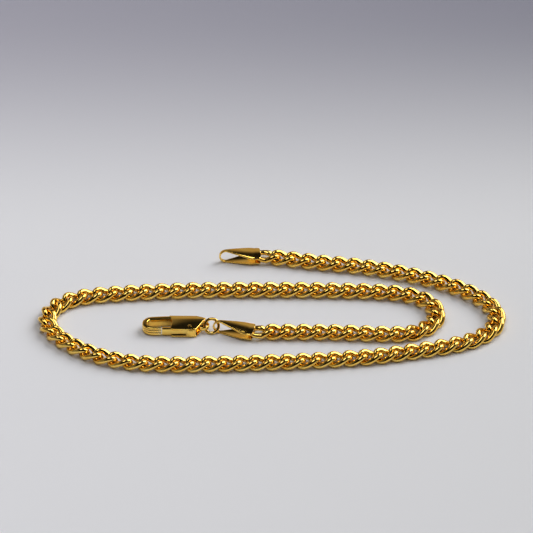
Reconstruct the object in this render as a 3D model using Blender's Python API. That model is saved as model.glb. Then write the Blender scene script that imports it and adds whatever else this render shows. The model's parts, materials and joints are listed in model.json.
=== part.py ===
"""Pocket watch chain: a gold curb chain with a folded tag at each end and a lobster clasp.

The chain lies on a table in a flat spiral: away along the far strand, round the outer right turn,
back along the near strand, round the left turn, along the middle strand, round the inner right turn
and back to the clasp. The table is z = 0, and the origin is under the middle of the whole object.

Links are joined in pairs at one crossing, and each pair hinges on the next one. A pair's object has
its origin on the hinge nearer to the middle of the chain.
"""

import math

import bmesh
import bpy
from mathutils import Matrix, Vector

MM = 0.001

# ---- Chain ---------------------------------------------------------------------------------------
LINK_COUNT = 91
LINK_PITCH = 2.91 * MM  # from one link's centre to the next
WIRE_DIAMETER = 1.00 * MM
LINK_PLAY = 0.17 * MM  # between the two end bars where links hook into each other
SIDE_ROOM = 0.30 * MM  # what a link's half width has beyond one wire
LINK_TWIST = math.radians(-55.0)  # of an end bar about the link's length; the other end has the opposite
LINK_FULLNESS = 0.80  # 1 is a plain oval, and less is a squarer one
JOINT_BLOB_DIAMETER = 0.50 * MM  # the spot that joins the two links of a pair
ROOT_PAIR = 23

# ---- Route of the chain on the table: hand-chosen points, in millimetres before scaling -----------
ROUTE = (
    (-0.8, 20.3), (9.7, 18.2), (18.4, 16.7), (26.8, 14.2), (34.8, 10.6), (40.3, 6.3), (42.9, 1.7),
    (42.5, -2.9), (39.0, -6.6), (34.0, -8.7), (28.0, -10.3), (20.4, -12.0), (11.7, -13.1),
    (2.9, -13.8), (-8.8, -14.4), (-18.7, -14.5), (-27.0, -13.3), (-33.2, -10.3), (-37.9, -6.2),
    (-40.4, -1.2), (-38.9, 3.7), (-34.4, 6.7), (-26.0, 8.1), (-14.1, 9.0), (-2.2, 9.2),
    (9.7, 9.1), (19.3, 8.7), (25.2, 8.0), (29.5, 6.1), (31.9, 2.5), (31.1, -1.9), (27.5, -4.6),
    (22.6, -5.0), (14.5, -4.5), (6.0, -4.3), (-1.6, -4.3),
)

# ---- Folded tags ---------------------------------------------------------------------------------
TAG_LENGTH = 7.8 * MM  # from the chain end to the far side of the loop
TAG_FULL_WIDTH_LENGTH = 1.95 * MM  # of the leaves, before they narrow towards the loop
END_TAG_YAW = math.radians(15.0)  # from its link's direction, the loop turned to the near side
CLASP_TAG_YAW = math.radians(-12.0)  # from its link's direction, the loop turned to the far side
TAG_STRIP = 0.28 * MM  # thickness of the strip
TAG_LOOP_HEIGHT = 2.7 * MM  # outside
TAG_NARROW = 0.65 * MM  # width of the strip at the loop
TAG_WIDE = 3.7 * MM  # width of the leaves at the chain end
TAG_GRIP = 0.04 * MM  # clearance between each leaf and the end bar of the last link

# ---- Jump ring -----------------------------------------------------------------------------------
RING_OUTER_DIAMETER = 3.2 * MM
RING_WIRE = 0.56 * MM
RING_TILT = math.radians(50.0)  # of the ring's plane from the table, its upper side leaning away
RING_SPLIT = 0.06 * MM  # where the ring's two ends meet
RING_SLACK_TAG = 0.50 * MM  # between the ring and the inside of the tag's loop
RING_SLACK_EYE = 0.26 * MM  # between the ring and the wall of the clasp's eye

# ---- Lobster clasp: its own frame has the eye's centre at 0, +x to the hook, +y to the gate --------
CLASP_LENGTH = 12.5 * MM
CASING_WIDTH = 4.5 * MM
CASING_HEIGHT = 2.0 * MM
PLATE_THICKNESS = 0.30 * MM
CASING_FRONT = 6.0 * MM  # where the plates end towards the hook
PLATE_SHOULDER = 1.15 * MM  # where the plates have their full width, towards the eye
PLATE_TIP = (-0.55 * MM, -1.45 * MM)  # the plates' point, beside the eye
PLATE_HOLLOW = 0.25 * MM  # depth of the hollow in the plates' front edge
PLATE_CORNER = 0.15 * MM
HOOK_BAR_WIDTH = 1.0 * MM
HOOK_BAR_HEIGHT = 1.7 * MM
HOOK_WIDTH = 3.9 * MM
HOOK_TIP_LENGTH = 3.6 * MM  # from the hook's end back to the free tip
HOOK_BAR_EDGE = 0.20 * MM  # width of the flats along the bar's edges
SPINE_START = (1.0 * MM, -0.9 * MM)  # the bar's end beside the eye
SPINE_BEND = 2.2 * MM
SPINE_STRAIGHT = 3.4 * MM
EYE_BORE = 1.74 * MM
EYE_RIM = 0.34 * MM
EYE_HEIGHT = 0.70 * MM
EYE_LIFT = 0.20 * MM  # of the eye's middle above the clasp's
CLASP_YAW = math.radians(11.0)  # the hook's end is turned towards the near side
RIVET_DIAMETER = 0.70 * MM
RIVET_PLACE = (2.45 * MM, 1.15 * MM)
RUNNING_CLEARANCE = 0.05 * MM  # between a moving piece and the wall next to it
GATE_WIDTH = 0.90 * MM
GATE_HEEL_RADIUS = 0.85 * MM
GATE_STEP = 0.25 * MM  # how much thicker the gate is near its heel
GATE_STEP_LENGTH = 1.6 * MM  # from the rivet to where the step has run out
GATE_TIP_GAP = 0.14 * MM  # between the gate's tip and the hook's tip
THUMB_RIDGE = 0.45 * MM  # how far the ridge stands out of the gate
THUMB_RIDGE_FRONT = 0.35 * MM  # from the rivet towards the hook
THUMB_RIDGE_BACK = 1.25 * MM  # from the rivet towards the eye
SPRING_STRIP = 0.12 * MM
SPRING_WIDTH = 0.90 * MM
SPRING_FOLD = 0.75 * MM  # from the rivet to the middle of the spring's fold
SPRING_REACH = 2.3 * MM  # from the rivet to the end of the leaf on the gate
SPRING_FOLD_DROP = 0.35 * MM  # how far the fold's middle is from halfway, towards the spine
SPRING_EDGE = 0.02 * MM

# ---- Facets ----------------------------------------------------------------------------------------
CURVE_STEPS = 24
LINK_STEPS = 10
LINK_SIDES = 5
BLOB_SIDES = 6
TAG_LOOP_STEPS = 10
RING_STEPS = 20
RING_SIDES = 8
HOOK_STEPS = 8
EYE_STEPS = 16
HEEL_STEPS = 10
RIVET_STEPS = 12
FOLD_STEPS = 6
HALVINGS = 40
SHARP_ANGLE = math.radians(40)

GOLD = (0.83, 0.58, 0.20, 1.0)
GOLD_ROUGHNESS = 0.12
STEEL = (0.55, 0.55, 0.56, 1.0)
STEEL_ROUGHNESS = 0.3

# ---- Sizes that follow from the ones above -----------------------------------------------------------
LINK_A = (LINK_PITCH + WIRE_DIAMETER + LINK_PLAY) / 2  # half length of the wire's centre line
LINK_B = WIRE_DIAMETER + SIDE_ROOM  # half width of the wire's centre line
RING_RADIUS = (RING_OUTER_DIAMETER - RING_WIRE) / 2
RING_HEIGHT = RING_RADIUS * math.sin(RING_TILT) + RING_WIRE / 2
CLASP_HEIGHT = CASING_HEIGHT / 2
EYE_RADIUS = EYE_BORE / 2 + EYE_RIM
HOOK_END = CLASP_LENGTH - EYE_RADIUS
LEVER_THICKNESS = CASING_HEIGHT - 2 * PLATE_THICKNESS - 2 * RUNNING_CLEARANCE


# ---- Mesh helpers ------------------------------------------------------------------------------------
def material(name, colour, roughness):
    """A polished metal."""
    made = bpy.data.materials.new(name)
    made.use_nodes = True
    shader = made.node_tree.nodes["Principled BSDF"]
    shader.inputs["Base Color"].default_value = colour
    shader.inputs["Metallic"].default_value = 1.0
    shader.inputs["Roughness"].default_value = roughness
    return made


def skin_of_rings(rings, closed):
    """A bmesh skinned over rings of points, closed on itself or with a cap at each end."""
    bm = bmesh.new()
    rows = [[bm.verts.new(point) for point in ring] for ring in rings]
    count = len(rows)
    for i in range(count if closed else count - 1):
        here, there = rows[i], rows[(i + 1) % count]
        for j in range(len(here)):
            k = (j + 1) % len(here)
            bm.faces.new((here[j], here[k], there[k], there[j]))
    if not closed:
        bm.faces.new(rows[0][::-1])
        bm.faces.new(rows[-1])
    bmesh.ops.recalc_face_normals(bm, faces=bm.faces)
    return bm


def tube_rings(path, radius, sides, closed):
    """Round sections across a path, turned so that one side always faces up."""
    rings = []
    count = len(path)
    for i, point in enumerate(path):
        before = path[i - 1] if closed or i else point
        after = path[(i + 1) % count] if closed or i < count - 1 else point
        along = (after - before).normalized()
        across = along.cross(Vector((0, 0, 1)))
        if across.length < 1e-6:
            across = Vector((0, 1, 0))
        across.normalize()
        up = across.cross(along)
        turns = [2 * math.pi * (j + 0.5) / sides for j in range(sides)]
        rings.append([point + radius * (math.cos(t) * across + math.sin(t) * up) for t in turns])
    return rings


def slab(outline, low, high):
    """A bmesh of an outline in x and y, between two heights."""
    bm = bmesh.new()
    base = bm.faces.new([bm.verts.new((x, y, low)) for x, y in outline])
    grown = bmesh.ops.extrude_face_region(bm, geom=[base])
    raised = [item for item in grown["geom"] if isinstance(item, bmesh.types.BMVert)]
    bmesh.ops.translate(bm, vec=(0, 0, high - low), verts=raised)
    bmesh.ops.recalc_face_normals(bm, faces=bm.faces)
    return bm


def arc(centre, radius, start, end, steps):
    """Points on an arc, from one angle to another."""
    angles = [start + (end - start) * i / steps for i in range(steps + 1)]
    return [(centre[0] + radius * math.cos(t), centre[1] + radius * math.sin(t)) for t in angles]


def circle(centre, radius, steps):
    """Points round a circle, the first one not repeated."""
    return arc(centre, radius, 0, 2 * math.pi, steps)[:-1]


def new_object(name, bm, look, matrix):
    """An object with this mesh, placed by this matrix."""
    mesh = bpy.data.meshes.new(name)
    bm.to_mesh(mesh)
    bm.free()
    mesh.shade_smooth()
    mesh.set_sharp_from_angle(angle=SHARP_ANGLE)
    mesh.materials.append(look)
    made = bpy.data.objects.new(name, mesh)
    bpy.context.scene.collection.objects.link(made)
    made.matrix_world = matrix
    return made


def boolean(target, tool, operation):
    """Joins a tool to the target or cuts it out, now, and removes the tool."""
    modifier = target.modifiers.new(operation.lower(), "BOOLEAN")
    modifier.operation = operation
    modifier.solver = "EXACT"
    modifier.object = tool
    bpy.context.view_layer.update()
    graph = bpy.context.evaluated_depsgraph_get()
    mesh = bpy.data.meshes.new_from_object(target.evaluated_get(graph))
    old = target.data
    target.modifiers.clear()
    target.data = mesh
    mesh.name = target.name
    bpy.data.meshes.remove(old)
    bpy.data.objects.remove(tool, do_unlink=True)
    return target


# ---- Route ---------------------------------------------------------------------------------------------
def smooth_route():
    """Closely spaced points on a smooth curve through the route, in millimetres."""
    points = [Vector(p) for p in ROUTE]
    points = [2 * points[0] - points[1]] + points + [2 * points[-1] - points[-2]]
    curve = []
    for p0, p1, p2, p3 in zip(points, points[1:], points[2:], points[3:]):
        for i in range(CURVE_STEPS):
            t = i / CURVE_STEPS
            curve.append(
                0.5 * (2 * p1 + (p2 - p0) * t + (2 * p0 - 5 * p1 + 4 * p2 - p3) * t**2
                       + (3 * p1 - p0 - 3 * p2 + p3) * t**3)
            )
    curve.append(points[-2])
    return curve


def walk(curve, step, count):
    """Points one step apart along a curve, each on the curve; the last stretch is run on straight."""
    places = [curve[0]]
    i = 0
    while len(places) <= count:
        here = places[-1]
        while i < len(curve) - 1 and (curve[i + 1] - here).length < step:
            i += 1
        if i == len(curve) - 1:
            places.append(here + (curve[-1] - curve[-2]).normalized() * step)
            continue
        low, high = 0.0, 1.0
        for _ in range(HALVINGS):
            middle = (low + high) / 2
            if (curve[i].lerp(curve[i + 1], middle) - here).length < step:
                low = middle
            else:
                high = middle
        places.append(curve[i].lerp(curve[i + 1], high))
    return places


def knuckles():
    """The points between links, from the far end to the clasp's end, in metres, at z = 0.

    The route is scaled so that the chain just fills it.
    """
    curve = smooth_route()
    length = sum((b - a).length for a, b in zip(curve, curve[1:]))
    scale = LINK_COUNT * LINK_PITCH / length
    curve = [p * scale for p in curve]
    return [Vector((p.x, p.y, 0)) for p in walk(curve, LINK_PITCH, LINK_COUNT)]


# ---- Links -----------------------------------------------------------------------------------------------
def fuller(share):
    """A sine or cosine pushed outwards, which makes an oval squarer."""
    return math.copysign(abs(share) ** LINK_FULLNESS, share)


def link_point(turn, flat_end):
    """A point on the centre line of a link's wire.

    flat_end is 1 or -1 for an end link, whose bar at that end lies flat inside a tag, and else 0.
    """
    x = LINK_A * fuller(math.cos(turn))
    across = LINK_B * fuller(math.sin(turn))
    twist = 0.0 if x * flat_end > 0 else LINK_TWIST * x / LINK_A
    return Vector((x, across * math.cos(twist), across * math.sin(twist)))


def link_bmesh(flat_end):
    """One link, about its own centre, with its length along x."""
    path = [link_point(2 * math.pi * i / LINK_STEPS, flat_end) for i in range(LINK_STEPS)]
    rings = []
    for i, point in enumerate(path):
        along = (path[(i + 1) % LINK_STEPS] - path[i - 1]).normalized()
        outward = point.normalized()
        outward = (outward - outward.dot(along) * along).normalized()
        up = outward.cross(along)
        turns = [2 * math.pi * j / LINK_SIDES for j in range(LINK_SIDES)]
        rings.append(
            [point + WIRE_DIAMETER / 2 * (math.cos(t) * outward + math.sin(t) * up) for t in turns]
        )
    return skin_of_rings(rings, closed=True)


def chain_height():
    """Height of the links' centres, so that the lowest point of a link lies on the table."""
    bm = link_bmesh(0)
    lowest = min(vert.co.z for vert in bm.verts)
    bm.free()
    return -lowest


def along_x(start, end, height):
    """A frame halfway between two points, at a height, with its x axis from one to the other."""
    turn = math.atan2(end.y - start.y, end.x - start.x)
    middle = (start + end) / 2
    return Matrix.Translation((middle.x, middle.y, height)) @ Matrix.Rotation(turn, 4, "Z")


def pair_numbers(pair):
    """The numbers of the links in a pair, counted from 1; the last has only one."""
    return [n for n in (2 * pair - 1, 2 * pair) if n <= LINK_COUNT]


def pair_count():
    """How many pairs there are, the single last link among them."""
    return (LINK_COUNT + 1) // 2


def pair_name(pair):
    """The name of a pair's object."""
    return f"link_pair_{pair:02d}" if len(pair_numbers(pair)) == 2 else f"end_link_{pair:02d}"


def hinge_knuckle(pair):
    """Which knuckle a pair's hinge is at: the one on the side of the middle of the chain."""
    numbers = pair_numbers(pair)
    return numbers[-1] if pair <= ROOT_PAIR else numbers[0] - 1


def make_pair(pair, places, height, look):
    """One pair of links, joined where they cross, with its origin on its hinge."""
    origin = places[hinge_knuckle(pair)].copy()
    origin.z = height
    made = None
    for number in pair_numbers(pair):
        flat_end = {1: -1, LINK_COUNT: 1}.get(number, 0)
        bm = link_bmesh(flat_end)
        bm.transform(Matrix.Translation(-origin) @ along_x(places[number - 1], places[number], height))
        place = Matrix.Translation(origin)
        if made is None:
            made = new_object(pair_name(pair), bm, look, place)
            continue
        made = boolean(made, new_object("second_link", bm, look, place), "UNION")
        before, after = places[number - 2], places[number]
        frame = along_x(before, after, height)
        frame.translation = (places[number - 1].x, places[number - 1].y, height)
        half = (LINK_PLAY + WIRE_DIAMETER) / 2
        path = [Vector((-half, 0, 0)), Vector((half, 0, 0))]
        blob = skin_of_rings(tube_rings(path, JOINT_BLOB_DIAMETER / 2, BLOB_SIDES, False), closed=False)
        blob.transform(Matrix.Translation(-origin) @ frame)
        made = boolean(made, new_object("joint_blob", blob, look, place), "UNION")
    return made


# ---- Tags ------------------------------------------------------------------------------------------------
def tag_path(chain_z):
    """The strip's centre line in the tag's x and z, from the lower leaf round the loop to the upper leaf.

    x is 0 at the last knuckle and grows towards the loop, and z is 0 on the table.
    """
    radius = (TAG_LOOP_HEIGHT - TAG_STRIP) / 2
    centre = Vector((TAG_LENGTH - TAG_LOOP_HEIGHT / 2, TAG_LOOP_HEIGHT / 2))
    apart = WIRE_DIAMETER / 2 + TAG_GRIP + TAG_STRIP / 2
    grip_end = LINK_A - LINK_PITCH / 2 + WIRE_DIAMETER / 2
    sides = []
    for sign in (-1, 1):
        start = Vector((0.0, chain_z + sign * apart))
        bend = Vector((grip_end, chain_z + sign * apart))
        reach = centre - bend
        lean = math.atan2(reach.y, reach.x) + sign * math.asin(radius / reach.length)
        touch = lean + sign * math.pi / 2
        sides.append((start, bend, touch))
    (low_start, low_bend, low_touch), (high_start, high_bend, high_touch) = sides
    loop = [Vector(p) for p in arc(centre, radius, low_touch, high_touch, TAG_LOOP_STEPS)]
    third, two_thirds = 1 / 3, 2 / 3
    lower = [low_start, low_bend, low_bend.lerp(loop[0], third), low_bend.lerp(loop[0], two_thirds)]
    upper = [loop[-1].lerp(high_bend, third), loop[-1].lerp(high_bend, two_thirds), high_bend, high_start]
    return lower + loop + upper


def tag_width(x):
    """Width of the strip at a distance from the chain end."""
    narrow_from = TAG_LENGTH - TAG_LOOP_HEIGHT / 2
    share = (x - TAG_FULL_WIDTH_LENGTH) / (narrow_from - TAG_FULL_WIDTH_LENGTH)
    share = min(max(share, 0.0), 1.0)
    return TAG_WIDE + (TAG_NARROW - TAG_WIDE) * share


def turned(direction, angle):
    """A direction on the table, turned anticlockwise."""
    return Matrix.Rotation(angle, 3, "Z") @ direction


def make_tag(name, knuckle, along, chain_z, look):
    """A folded tag on an end link; along points from the chain to the tag's loop."""
    path = tag_path(chain_z)
    rings = []
    for i, point in enumerate(path):
        before, after = path[max(i - 1, 0)], path[min(i + 1, len(path) - 1)]
        run = (after - before).normalized()
        normal = Vector((-run.y, run.x)) * TAG_STRIP / 2
        half = tag_width(point.x) / 2
        corners = ((half, normal), (-half, normal), (-half, -normal), (half, -normal))
        rings.append([Vector((point.x + n.x, y, point.y + n.y)) for y, n in corners])
    place = Matrix.Translation((knuckle.x, knuckle.y, 0)) @ Matrix.Rotation(
        math.atan2(along.y, along.x), 4, "Z"
    )
    return new_object(name, skin_of_rings(rings, closed=False), look, place)


# ---- Jump ring -------------------------------------------------------------------------------------------
def ring_frame(knuckle, along):
    """The ring's frame: x runs on from the tag, and the ring hangs in the tag's loop."""
    inner_apex = TAG_LENGTH - TAG_STRIP
    x = inner_apex - RING_SLACK_TAG - RING_WIRE / 2 + RING_RADIUS
    return (
        Matrix.Translation((knuckle.x, knuckle.y, RING_HEIGHT))
        @ Matrix.Rotation(math.atan2(along.y, along.x), 4, "Z")
        @ Matrix.Translation((x, 0, 0))
        @ Matrix.Rotation(math.pi - RING_TILT, 4, "X")
    )


def make_ring(frame, look):
    """A jump ring, cut through once at its upper side."""
    half_gap = RING_SPLIT / 2 / RING_RADIUS
    start, end = -math.pi / 2 + half_gap, 1.5 * math.pi - half_gap
    path = [Vector((x, y, 0)) for x, y in arc((0, 0), RING_RADIUS, start, end, RING_STEPS)]
    rings = tube_rings(path, RING_WIRE / 2, RING_SIDES, False)
    return new_object("jump_ring", skin_of_rings(rings, closed=False), look, frame)


# ---- Clasp -----------------------------------------------------------------------------------------------
def clasp_frame(ring):
    """The clasp's frame: the ring runs through its eye, and the hook's end is turned to the near side."""
    up = (CLASP_HEIGHT + EYE_LIFT - RING_HEIGHT) / math.sin(RING_TILT)
    far_side = ring @ Vector((math.sqrt(RING_RADIUS**2 - up**2), up, 0))
    run = math.atan2(ring.col[0].y, ring.col[0].x)
    offset = EYE_BORE / 2 - RING_SLACK_EYE - RING_WIRE / 2
    return (
        Matrix.Translation((far_side.x, far_side.y, CLASP_HEIGHT))
        @ Matrix.Rotation(run + CLASP_YAW, 4, "Z")
        @ Matrix.Translation((offset, 0, 0))
    )


def spine_path():
    """Centre line of the clasp's bar, from the spine beside the eye round the hook to its tip."""
    spine_y = -(CASING_WIDTH - HOOK_BAR_WIDTH) / 2
    hook_radius = (HOOK_WIDTH - HOOK_BAR_WIDTH) / 2
    hook_centre = (HOOK_END - HOOK_WIDTH / 2, 0.0)
    bend = (SPINE_BEND, (SPINE_START[1] + 4 * spine_y) / 5)
    start = [SPINE_START, bend, (SPINE_STRAIGHT, spine_y), (CASING_FRONT, spine_y)]
    hook = arc(hook_centre, hook_radius, -math.pi / 2, math.pi / 2, HOOK_STEPS)
    return start + hook + [(HOOK_END - HOOK_TIP_LENGTH, hook_radius)]


def bar_bmesh(path, width, height, bevel):
    """A bar with bevelled edges along a path in x and y."""
    w, h = width / 2, height / 2
    section = (
        (w, -h + bevel), (w, h - bevel), (w - bevel, h), (-w + bevel, h),
        (-w, h - bevel), (-w, -h + bevel), (-w + bevel, -h), (w - bevel, -h),
    )
    points = [Vector((x, y)) for x, y in path]
    rings = []
    for i, point in enumerate(points):
        run = (points[min(i + 1, len(points) - 1)] - points[max(i - 1, 0)]).normalized()
        side = Vector((-run.y, run.x))
        rings.append([Vector((point.x + side.x * a, point.y + side.y * a, z)) for a, z in section])
    return skin_of_rings(rings, closed=False)


def plate_outline():
    """Outline of the casing's two plates: pointed beside the eye, slightly hollow at the front."""
    half = CASING_WIDTH / 2
    return (
        PLATE_TIP, (PLATE_SHOULDER, -half), (CASING_FRONT, -half),
        (CASING_FRONT - PLATE_HOLLOW, -half / 2), (CASING_FRONT - PLATE_HOLLOW, half / 2),
        (CASING_FRONT, half - PLATE_CORNER), (CASING_FRONT - PLATE_CORNER, half),
        (PLATE_SHOULDER, half),
    )


def neck_outline():
    """Outline of the eye and of the neck that joins it to the spine."""
    eye = arc((0, 0), EYE_RADIUS, math.radians(25), math.radians(285), EYE_STEPS)
    spine_x, spine_y = SPINE_START
    outside = (2 * spine_x, HOOK_BAR_WIDTH / 4 - CASING_WIDTH / 2)
    inside = (2 * spine_x - HOOK_BAR_WIDTH / 4, spine_y + HOOK_BAR_EDGE)
    return eye + [outside, inside]


def make_clasp_body(frame, look):
    """Spine, hook, two plates and eye, in one piece, with the rivet's holes and the eye's bore."""
    bar = bar_bmesh(spine_path(), HOOK_BAR_WIDTH, HOOK_BAR_HEIGHT, HOOK_BAR_EDGE)
    body = new_object("clasp_body", bar, look, frame)
    top = CASING_HEIGHT / 2
    for low, high in ((top - PLATE_THICKNESS, top), (-top, PLATE_THICKNESS - top)):
        body = boolean(body, new_object("plate", slab(plate_outline(), low, high), look, frame), "UNION")
    eye = slab(neck_outline(), EYE_LIFT - EYE_HEIGHT / 2, EYE_LIFT + EYE_HEIGHT / 2)
    body = boolean(body, new_object("eye", eye, look, frame), "UNION")
    bore = slab(circle((0, 0), EYE_BORE / 2, EYE_STEPS), PLATE_THICKNESS - top, top - PLATE_THICKNESS)
    body = boolean(body, new_object("bore", bore, look, frame), "DIFFERENCE")
    hole = slab(circle(RIVET_PLACE, RIVET_DIAMETER / 2 + RUNNING_CLEARANCE, RIVET_STEPS), -2 * top, 2 * top)
    return boolean(body, new_object("hole", hole, look, frame), "DIFFERENCE")


def gate_faces():
    """The y of the gate's inner and outer faces."""
    outer = HOOK_WIDTH / 2
    return outer - GATE_WIDTH, outer


def make_clasp_lever(frame, look):
    """The sprung gate, from its bore on the rivet to its tip, with a ridge for the thumb at its heel."""
    inner, outer = gate_faces()
    px, py = RIVET_PLACE
    tip = HOOK_END - HOOK_TIP_LENGTH - GATE_TIP_GAP
    outline = arc(RIVET_PLACE, GATE_HEEL_RADIUS, math.radians(150), math.radians(270), HEEL_STEPS)
    outline += [(px + GATE_HEEL_RADIUS, inner - GATE_STEP), (px + GATE_STEP_LENGTH, inner)]
    outline += [(tip, inner), (tip, outer), (px + THUMB_RIDGE_FRONT + THUMB_RIDGE, outer)]
    outline += [(px + THUMB_RIDGE_FRONT, outer + THUMB_RIDGE)]
    outline += [(px - THUMB_RIDGE_BACK + THUMB_RIDGE, outer + THUMB_RIDGE), (px - THUMB_RIDGE_BACK, outer)]
    half = LEVER_THICKNESS / 2
    local = [(x - px, y - py) for x, y in outline]
    place = frame @ Matrix.Translation((px, py, 0))
    lever = new_object("clasp_lever", slab(local, -half, half), look, place)
    bore = slab(circle((0, 0), RIVET_DIAMETER / 2 + RUNNING_CLEARANCE, RIVET_STEPS), -2 * half, 2 * half)
    return boolean(lever, new_object("bore", bore, look, place), "DIFFERENCE")


def make_clasp_rivet(frame, look):
    """The pin that the gate turns on, flush with both plates."""
    half = CASING_HEIGHT / 2
    pin = slab(circle((0, 0), RIVET_DIAMETER / 2, RIVET_STEPS), -half, half)
    return new_object("clasp_rivet", pin, look, frame @ Matrix.Translation((*RIVET_PLACE, 0)))


def make_clasp_spring(frame, look):
    """A bent steel strip between the spine and the gate."""
    inner, _ = gate_faces()
    spine = -CASING_WIDTH / 2 + HOOK_BAR_WIDTH + RUNNING_CLEARANCE + SPRING_STRIP / 2
    gate = inner - RUNNING_CLEARANCE - SPRING_STRIP / 2
    reach = RIVET_PLACE[0] + SPRING_REACH
    bend = (RIVET_PLACE[0] + SPRING_FOLD, (spine + gate) / 2 - SPRING_FOLD_DROP)
    path = [(reach, spine), (bend[0], spine)]
    path += arc(bend, bend[1] - spine, -math.pi / 2, -3 * math.pi / 2, FOLD_STEPS)[1:]
    path += [(reach, gate)]
    bm = bar_bmesh(path, SPRING_STRIP, SPRING_WIDTH, SPRING_EDGE)
    return new_object("clasp_spring", bm, look, frame)


# ---- Assembly --------------------------------------------------------------------------------------------
def remove_everything():
    """Empties the scene."""
    for old in list(bpy.data.objects):
        bpy.data.objects.remove(old, do_unlink=True)


def put_origin_under_the_middle(parts):
    """Moves every part so that the origin is under the middle of their common box; returns the shift."""
    bpy.context.view_layer.update()
    corners = [part.matrix_world @ vert.co for part in parts for vert in part.data.vertices]
    low = Vector([min(c[i] for c in corners) for i in range(3)])
    high = Vector([max(c[i] for c in corners) for i in range(3)])
    shift = Vector((-(low.x + high.x) / 2, -(low.y + high.y) / 2, -low.z))
    for part in parts:
        part.matrix_world = Matrix.Translation(shift) @ part.matrix_world
    return shift


def main():
    """Builds the chain and returns what the joints are set out from."""
    remove_everything()
    gold = material("gold", GOLD, GOLD_ROUGHNESS)
    steel = material("spring_steel", STEEL, STEEL_ROUGHNESS)
    places = knuckles()
    height = chain_height()
    parts = [make_pair(pair, places, height, gold) for pair in range(1, pair_count() + 1)]

    start_run = turned(places[0] - places[1], END_TAG_YAW)
    end_run = turned(places[-1] - places[-2], CLASP_TAG_YAW)
    parts.append(make_tag("end_tag", places[0], start_run, height, gold))
    parts.append(make_tag("clasp_tag", places[-1], end_run, height, gold))
    ring = ring_frame(places[-1], end_run)
    parts.append(make_ring(ring, gold))
    clasp = clasp_frame(ring)
    parts.append(make_clasp_body(clasp, gold))
    parts.append(make_clasp_lever(clasp, gold))
    parts.append(make_clasp_rivet(clasp, gold))
    parts.append(make_clasp_spring(clasp, steel))
    shift = put_origin_under_the_middle(parts)
    return places, height, ring, clasp, shift


if __name__ == "__main__":
    main()
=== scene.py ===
"""Pocket watch chain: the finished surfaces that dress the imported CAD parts.

The chain is 91 twisted curb links in a flat spiral on a table, with a folded tag at each end and a
jump ring that carries a lobster clasp. Every link is its own piece here, and rides on the CAD body
that holds it. All lengths are in metres.
"""

import json
import logging
import math
from dataclasses import dataclass, field
from enum import Enum
from typing import Optional

import bmesh
import bpy
from mathutils import Matrix, Vector


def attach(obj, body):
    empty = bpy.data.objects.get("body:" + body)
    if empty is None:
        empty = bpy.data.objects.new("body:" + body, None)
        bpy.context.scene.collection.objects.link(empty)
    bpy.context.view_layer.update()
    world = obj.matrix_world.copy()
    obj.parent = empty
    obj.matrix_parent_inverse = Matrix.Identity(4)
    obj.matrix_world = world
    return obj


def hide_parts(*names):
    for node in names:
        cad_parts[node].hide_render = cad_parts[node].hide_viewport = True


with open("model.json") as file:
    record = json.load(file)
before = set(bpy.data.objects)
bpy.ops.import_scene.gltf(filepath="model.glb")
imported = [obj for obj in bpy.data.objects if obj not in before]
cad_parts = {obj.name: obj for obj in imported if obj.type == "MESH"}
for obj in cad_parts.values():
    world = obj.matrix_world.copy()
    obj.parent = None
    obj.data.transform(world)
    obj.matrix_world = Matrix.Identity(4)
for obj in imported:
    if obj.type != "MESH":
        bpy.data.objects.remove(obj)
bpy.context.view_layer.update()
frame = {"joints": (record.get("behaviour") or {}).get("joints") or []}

MM = 0.001
GOLD_SLOT = "gold"
STEEL_SLOT = "spring_steel"
WEAR = "wear"
FAR_TAG_YAW = math.radians(15.0)
CLASP_TAG_YAW = math.radians(-12.0)
CUT_TOLERANCE = 1e-7
TINY = 1e-9

log = logging.getLogger("watch_chain")

Span = tuple[float, float]
Point = tuple[float, float]
Triple = tuple[float, float, float]
Colour = Triple
Outline = list[Point]


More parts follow.
